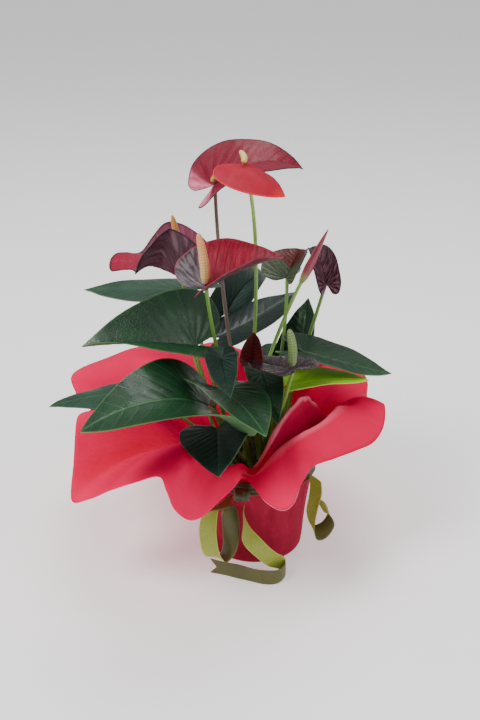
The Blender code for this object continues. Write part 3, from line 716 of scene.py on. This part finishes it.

# %% [markdown]
# ## Non-woven sheet finish
# Florists wrap pots in spun-bonded non-woven cloth: polypropylene threads laid at random and pressed together at a
# fine grid of points. Close up it shows crossing threads and tiny dimples, from a distance it is matt and even. Its
# colour is darkened with painted shade below the tie and in the pocket of the front fold, and a painted highlight
# makes it paler along the sharp fold crests and at its cut edge.

# %% Sheet finish
def sheet_finish(name, deep, lit, haze, shade_tone, highlight_tone):
    mat, tree, shader = new_finish(name, .82, Specular_IOR_Level=.08,
                                   Subsurface_Weight=.18, Subsurface_Scale=.004, Subsurface_Radius=(1, .25, .25))
    _, _, cloth = surface_map(tree, "cloth")
    bonds = node(tree, "TexVoronoi", {"Vector": cloth, "Scale": 900.0, "Randomness": .25}).outputs[0]
    ways = [node(tree, "Mapping", {0: cloth, 3: squash}).outputs[0] for squash in ((1, .16, 1), (.16, 1, 1))]
    threads = calc(tree, "MAXIMUM", *(grain(tree, 2600, 2, .6, way) for way in ways))
    colour = blend(tree, fade(tree, grain(tree, 11, 2), .35, .7), deep, lit)
    from_middle = node(tree, "VectorMath", {0: cloth}, operation="LENGTH").outputs["Value"]
    # Painted shade: below the tie, under the overhanging collar, the sheet takes the darker shade tone.
    colour = blend(tree, fade(tree, from_middle, .088, .112), shade_tone, colour)
    pocket_shade_mask, crest, _ = surface_map(tree, "fold_shade_and_highlight")
    # Painted shade in the pocket of the front fold.
    colour = blend(tree, pocket_shade_mask, colour, shade_tone)
    # Painted highlight: a pale line along the sharp fold crests.
    colour = tint(tree, colour, highlight_tone, crest, .85)
    colour = tint(tree, colour, haze, fade(tree, threads, .50, .80), .25)
    colour = tint(tree, colour, haze, fade(tree, grain(tree, 55, 3, .6), .5, .75), .18)
    paint(tree, shader, tint(tree, colour, deep, fade(tree, bonds, .28, .10), .25))
    uneven_gloss(tree, shader, threads, .88, .70, .4, .8)
    height = calc(tree, "ADD", calc(tree, "MULTIPLY", threads, .6), fade(tree, bonds, .10, .40))
    relief(tree, shader, height, .00012, .7)
    return mat


# The fourth colour is painted shade, the fifth the painted highlight along the fold crests.
coral_sheet = sheet_finish("nonwoven_coral_red", (.74, .001, .062), (.93, .002, .092), (.94, .02, .14),
                           (.29, .014, .036), (1.0, .26, .36))
# The cut edge is a paler copy of the cloth: painted highlight for light coming through and along the thin edge.
cut_edge_highlight = sheet_finish("nonwoven_cut_edge_painted_highlight", (.95, .36, .45), (.97, .46, .53), (1.0, .6, .66), (.7, .2, .28),
                        (1, .5, .6))

# %% [markdown]
# ## The gathered sheet
# One square of cloth is laid under the pot, drawn up its wall, tied at the neck, and its corners and sides fall open
# into tongues. Every ray from the axis follows one profile: flat below, up the wall, in at the neck, then out over
# an arch to the free edge. The free edge is set by bearing, and pleats that start at the tie fade towards the edge.

# %% Make the sheet
SHEET_EDGE = [
    (-176, .157, .151, .010), (-163, .171, .162, .014), (-157, .180, .131, .034), (-153, .188, .098, .055),
    (-147, .178, .106, .055), (-140, .167, .122, .050), (-131, .158, .138, .042), (-123, .153, .149, .032),
    (-119, .159, .142, .038), (-117, .157, .125, .045), (-114, .147, .110, .052), (-111, .134, .107, .050),
    (-108, .113, .110, .044), (-103.5, .094, .114, .034), (-99, .081, .119, .026), (-92, .100, .122, .030),
    (-87, .119, .119, .040), (-81, .129, .115, .046), (-76, .128, .119, .046), (-71, .119, .133, .036),
    (-62, .104, .137, .034), (-49, .108, .140, .036), (-38, .114, .141, .040), (-28, .121, .142, .044),
    (-18, .124, .149, .040), (-9, .122, .160, .030), (0, .115, .150, .028), (12, .112, .147, .028),
    (24, .124, .147, .026), (34, .136, .145, .026), (45, .146, .139, .030), (60, .160, .128, .036),
    (75, .150, .146, .022), (90, .162, .130, .036), (104, .178, .138, .030), (118, .184, .130, .038),
    (130, .192, .144, .028), (143, .197, .144, .028), (157, .204, .144, .020), (167, .184, .141, .012),
]
NECK_R, NECK_Z = .0572, .1000
SHEET_THICKNESS, STEPS, ROWS_OUT, CLOTH_REACH = .0009, 9, 44, .22
knots = np.array(SHEET_EDGE)
lap = np.array([360, 0, 0, 0])
edge = smooth_through(np.vstack([knots[-3:] - lap, knots, knots[:4] + lap]), (len(knots) + 6) * STEPS + 1)
edge = edge[3 * STEPS:(3 + len(knots)) * STEPS + 1]
edge[-1] = edge[0] + lap
below_neck = smooth_through([(.0, .0), (.018, .0), (.034, .0), (.0452, .0003), (.0475, .0040), (.0490, .022),
                             (.0510, .047), (.0540, .070), (.0562, .086), (NECK_R - .0006, .0945),
                             (NECK_R, NECK_Z)], 34)
# Front right, the sheet first stands up as a ridge, dips into a pocket, and only then rolls over its outer crest:
# bearing, how strongly, then the heights of ridge, pocket and outer crest.
FRONT_FOLD = np.array([
    (-104, 0, .108, .112, .114), (-96, .6, .112, .116, .118), (-88, 1, .123, .124, .129), (-81, 1, .138, .130, .142),
    (-74, 1, .154, .132, .152), (-68, 1, .165, .130, .158), (-60, 1, .175, .126, .163), (-49, 1, .182, .123, .166),
    (-40, 1, .180, .124, .169), (-30, .9, .168, .130, .170), (-18, .5, .150, .140, .168), (-4, 0, .14, .15, .16)])
RIDGE_R, POCKET_R, CREST_R = .0612, .0720, .0870
columns, painted_pocket_shade, painted_crest_light = [], [], []
for bearing, out, height, arch in edge:
    a = math.radians(bearing)
    pleat = .62 * math.cos(17 * a + 1.3 * math.sin(3 * a)) + .38 * math.cos(31 * a + 2 * math.sin(2 * a) + 1)
    slow = math.cos(7 * a + 1.1 * math.sin(2 * a) + .6)
    crest = (NECK_R + .35 * (out - NECK_R), 0, max(height, NECK_Z) + arch)
    run = arc_between((NECK_R, 0, NECK_Z), crest, (out, 0, height), ROWS_OUT)[1:]
    strength, ridge_z, pocket_z, crest_z = (np.interp(bearing, FRONT_FOLD[:, 0], FRONT_FOLD[:, k])
                                            for k in (1, 2, 3, 4))
    strength = strength * strength * (3 - 2 * strength)
    crest_r = CREST_R if out > .1 else .5 * (.0745 + out)
    folded = [(NECK_R, NECK_Z), (.0590, .4 * NECK_Z + .6 * ridge_z), (RIDGE_R - .001, ridge_z - .004),
              (RIDGE_R, ridge_z), (.0625, ridge_z - .005), (POCKET_R, pocket_z), (crest_r - .004, crest_z - .007),
              (crest_r, crest_z), (.4 * crest_r + .6 * out, .5 * (crest_z + height)), (out, height)]
    folded = smooth_through([(r, 0, z) for r, z in folded], ROWS_OUT)[1:]
    run = run * (1 - strength) + folded * strength
    r = np.concatenate([below_neck[:, 0], run[:, 0]])
    z = np.concatenate([below_neck[:, 1], run[:, 2]])
    s = np.linspace(0, 1, len(run))
    wall = np.clip((below_neck[:, 1] - .004) / .05, 0, 1)
    fold = np.concatenate([.0006 * wall * slow + .0011 * wall ** 2 * pleat - .0004 * wall,
                           (.0011 + .0010 * np.sin(math.pi * np.clip(s * 2, 0, 1))) * (1 - s) ** 1.5 * pleat
                           + .0016 * np.sin(math.pi * s) * slow])
    dr, dz = np.gradient(r), np.gradient(z)
    size = np.hypot(dr, dz) + 1e-9
    r2, z2 = r + fold * dz / size, z - fold * dr / size
    # deep marks the pocket between the ridge and the outer crest for painted shade.
    deep = np.interp(r, [.0600, .0625, POCKET_R, .0800, .0850], [0, .55, .95, .5, 0]) * (z > NECK_Z + .004) * strength
    painted_pocket_shade.append(deep * np.clip((bearing + 84) / 10, 0, 1))
    # Painted highlight along the ridge and the outer crest.
    near_ridge = np.interp(r, [.0600, .0607, .0616, .0622], [0, .8, .8, 0]) * (z > ridge_z - .007)
    near_crest = np.interp(r - crest_r, [-.0030, -.0006, .0006, .0030], [0, .5, .5, 0])
    painted_crest_light.append(np.maximum(near_ridge, near_crest) * strength)
    columns.append(ring_at(r2, a, z2))
points = np.array(columns).transpose(1, 0, 2)
points[0] = (0, 0, 0)
run_out, bearing_of = np.linspace(0, CLOTH_REACH, len(points))[:, None], np.radians(edge[:, 0])
cloth = np.stack([run_out * np.cos(bearing_of), run_out * np.sin(bearing_of)], -1)
fold_shade_and_highlight = np.stack([np.array(painted_pocket_shade).T, np.array(painted_crest_light).T], -1)
sheet = net("gathered_sheet", points, {"cloth": cloth, "fold_shade_and_highlight": fold_shade_and_highlight})
dress(sheet, [coral_sheet, cut_edge_highlight], ["wrap_sheet"], SHEET_THICKNESS, offset=-1.0, rim=1, sharp=180)
area = sum(p.area for p in sheet.data.polygons) / 2
print("sheet area, one layer:", round(area, 4), "m2; lowest", round(min(v.co.z for v in sheet.data.vertices), 5))

# %% [markdown]
# ## Satin ribbon
# The ribbon is 16 mm satin with one bright side and a duller, darker reverse, so it changes tone where it turns over.
# Its long floats run along it, so it shines in bands, and its woven edges are a shade tighter. The finish sets fine
# threads on the ribbon's own map and stretches the gloss.

# %% Ribbon finish
def satin_finish(name, low, high, middle, sheen=.15):
    mat, tree, shader = new_finish(name, .36, Specular_IOR_Level=.4, Sheen_Weight=sheen, Sheen_Roughness=.3,
                                   Anisotropic=.55, Sheen_Tint=(.9, 1, .5, 1))
    across, along, weave = surface_map(tree, "weave")
    stretched = node(tree, "Mapping", {0: weave, 3: (1, .05, 1)}).outputs[0]
    floats = grain(tree, 5200, 2, .5, stretched)
    picks = calc(tree, "SINE", calc(tree, "MULTIPLY", along, 2 * math.pi / .00035))
    selvedge = fade(tree, calc(tree, "ABSOLUTE", across), .0070, .0076)
    colour = blend(tree, fade(tree, floats, .35, .7), low, high)
    colour = blend(tree, fade(tree, grain(tree, 60), .4, .7), colour, middle)
    edge = tuple(min(1, c * 1.5) for c in high)
    paint(tree, shader, tint(tree, colour, edge, selvedge, .6))
    uneven_gloss(tree, shader, floats, .30, .46, end=.75)
    relief(tree, shader, calc(tree, "ADD", floats, calc(tree, "MULTIPLY", picks, .15)), .00008, .8)
    return mat


satin = satin_finish("olive_satin", (.19, .22, .020), (.34, .40, .045), (.27, .31, .030))
satin_reverse = satin_finish("olive_satin_reverse", (.070, .068, .016), (.13, .125, .028), (.095, .095, .020))
# A darker copy of the satin: painted shade for the band and knot in the hollow under the sheet.
satin_in_shade = satin_finish("olive_satin_painted_shade", (.022, .024, .005), (.05, .055, .010), (.035, .04, .007), .03)


RIBBON_WIDTH, RIBBON_THICKNESS = .016, .0004


def ribbon(name, stations, n, stands_for, cup=.0008, notch=0.0):
    """A ribbon through (centre, direction across) stations, slightly cupped; notch cuts a swallow-tail."""
    fine = 300
    centre = smooth_through([c for c, _ in stations], fine)
    reach = smooth_through([s for _, s in stations], fine)
    reach /= np.linalg.norm(reach, axis=1)[:, None]
    run = np.concatenate([[0], np.cumsum(np.linalg.norm(np.diff(centre, axis=0), axis=1))])
    ahead = np.gradient(centre, axis=0)
    face = np.cross(reach, ahead)
    face /= np.linalg.norm(face, axis=1)[:, None]
    w = np.linspace(-1, 1, 13)
    rows, maps = [], []
    for f in np.linspace(0, 1, n):
        s = f * (run[-1] - notch * (1 - abs(w)))
        at = lambda table: np.stack([np.interp(s, run, table[:, k]) for k in range(3)], -1)
        ripple = cup * (1 - w ** 2) + .0003 * np.sin(s * 210) * w
        rows.append(at(centre) + at(reach) * (w * RIBBON_WIDTH / 2)[:, None] + at(face) * ripple[:, None])
        maps.append(np.stack([w * RIBBON_WIDTH / 2, s], -1))
    piece = net(name, rows, {"weave": np.array(maps)})
    dress(piece, [satin_reverse, satin], [stands_for], RIBBON_THICKNESS, back=1, sharp=180)
    return piece, float(run[-1])


# %% [markdown]
# ## The bow
# The ribbon goes round the neck, is knotted in front, and falls in two loops and one long tail that turns on the
# table. Each part follows a line of stations with the direction across the ribbon at each, which is all a ribbon
# needs: it bends along its length but never across its width.

# %% Loops, tail, band and knot
loop_left, left_run = ribbon("bow_left_loop", [
    ((-.0230, -.0735, .0900), (.2, .9, .3)), ((-.0400, -.0800, .0845), (.8, .5, .2)),
    ((-.0445, -.0860, .0690), (1, .1, .0)), ((-.0435, -.0870, .0500), (1, -.1, .1)),
    ((-.0395, -.0840, .0345), (.9, -.4, .2)), ((-.0305, -.0790, .0295), (.5, -.8, .1)),
    ((-.0245, -.0760, .0400), (.8, -.5, .0)), ((-.0235, -.0725, .0560), (1, -.1, .0)),
    ((-.0245, -.0705, .0720), (.9, .3, .0)), ((-.0260, -.0715, .0820), (.6, .7, .0))], 130, "bow_loop_left")
tail, tail_run = ribbon("bow_long_tail", [
    ((-.0115, -.0745, .0830), (.1, 1, .0)), ((-.0115, -.0780, .0700), (.1, 1, .1)),
    ((-.0090, -.0800, .0570), (.45, .8, .4)), ((.0010, -.0800, .0430), (.65, .25, .7)),
    ((.0140, -.0765, .0270), (.6, .1, .8)), ((.0225, -.0710, .0190), (.3, .0, .95)),
    ((.0280, -.0680, .0130), (.0, .0, 1)), ((.0275, -.0730, .0098), (.0, .0, 1)),
    ((.0200, -.0800, .0084), (.0, .0, 1)), ((.0050, -.0800, .0084), (.0, .0, 1)),
    ((-.0160, -.0720, .0084), (.0, .0, 1)), ((-.0440, -.0620, .0084), (.0, .0, 1))], 170, "ribbon_tail",
    cup=.0002, notch=.007)
loop_right, right_run = ribbon("bow_right_loop", [
    ((.0570, -.0350, .0900), (.6, -.7, -.1)), ((.0575, -.0380, .0780), (.6, -.7, -.2)),
    ((.0550, -.0420, .0650), (.5, -.7, -.5)), ((.0530, -.0450, .0500), (.45, -.75, -.5)),
    ((.0565, -.0480, .0370), (.35, -.7, -.6)), ((.0660, -.0485, .0400), (.3, -.7, -.65)),
    ((.0725, -.0475, .0520), (.3, -.75, -.6)), ((.0690, -.0455, .0615), (.35, -.75, -.5)),
    ((.0620, -.0435, .0650), (.4, -.8, -.4))], 120, "bow_loop_right")
print("ribbon lengths:", [round(v, 3) for v in (left_run, tail_run, right_run)])

turn = whole_turn(181)
band_rows, band_map = [], []
for f in np.linspace(0, 1, 17):
    pucker = .0006 * np.sin(f * 2 * math.pi * 3 + .7 * np.sin(2 * turn)) + .0003 * np.sin(23 * turn + 4 * f)
    band_rows.append(ring_at(.0590 + pucker + .0006 * f, turn, .0856 + .0124 * f + .0005 * np.sin(3 * turn)))
    band_map.append(np.stack([0 * turn - .008 + .016 * f, turn * .059], -1))
band = net("ribbon_round_neck", band_rows, {"weave": np.array(band_map)})
# The band wears the painted-shade satin.
dress(band, [satin_in_shade], ["ribbon_band"], RIBBON_THICKNESS, sharp=180)

centre, turn = np.array((-.0130, -.0672, .0920)), whole_turn(61)
knot_rows, knot_map = [], []
for f in np.linspace(-1, 1, 19):
    swell = .62 + .38 * math.sqrt(max(0, 1 - f * f * .92))
    crease = 1 + .07 * math.cos(9 * f) + .05 * np.cos(4 * turn + 3 * f)
    knot_rows.append(centre + np.stack([.0072 * f + 0 * turn, -.0056 * swell * crease * np.cos(turn),
                                        .0063 * swell * crease * np.sin(turn)], -1))
    knot_map.append(np.stack([0 * turn + .0075 * f, turn * .006], -1))
# Both ends are tucked in to a point, where the loops' roots go inside.
for side, place in ((-1, 0), (1, len(knot_rows) + 1)):
    knot_rows.insert(place, centre + np.stack([0 * turn + side * .0058, 0 * turn, 0 * turn], -1))
    knot_map.insert(place, np.stack([0 * turn + side * .0078, turn * .006], -1))
knot = net("bow_knot_wrap", knot_rows, {"weave": np.array(knot_map)}, outward=True)
# The knot wears the painted-shade satin too.
dress(knot, [satin_in_shade], ["bow_knot"], .0005, sharp=180)
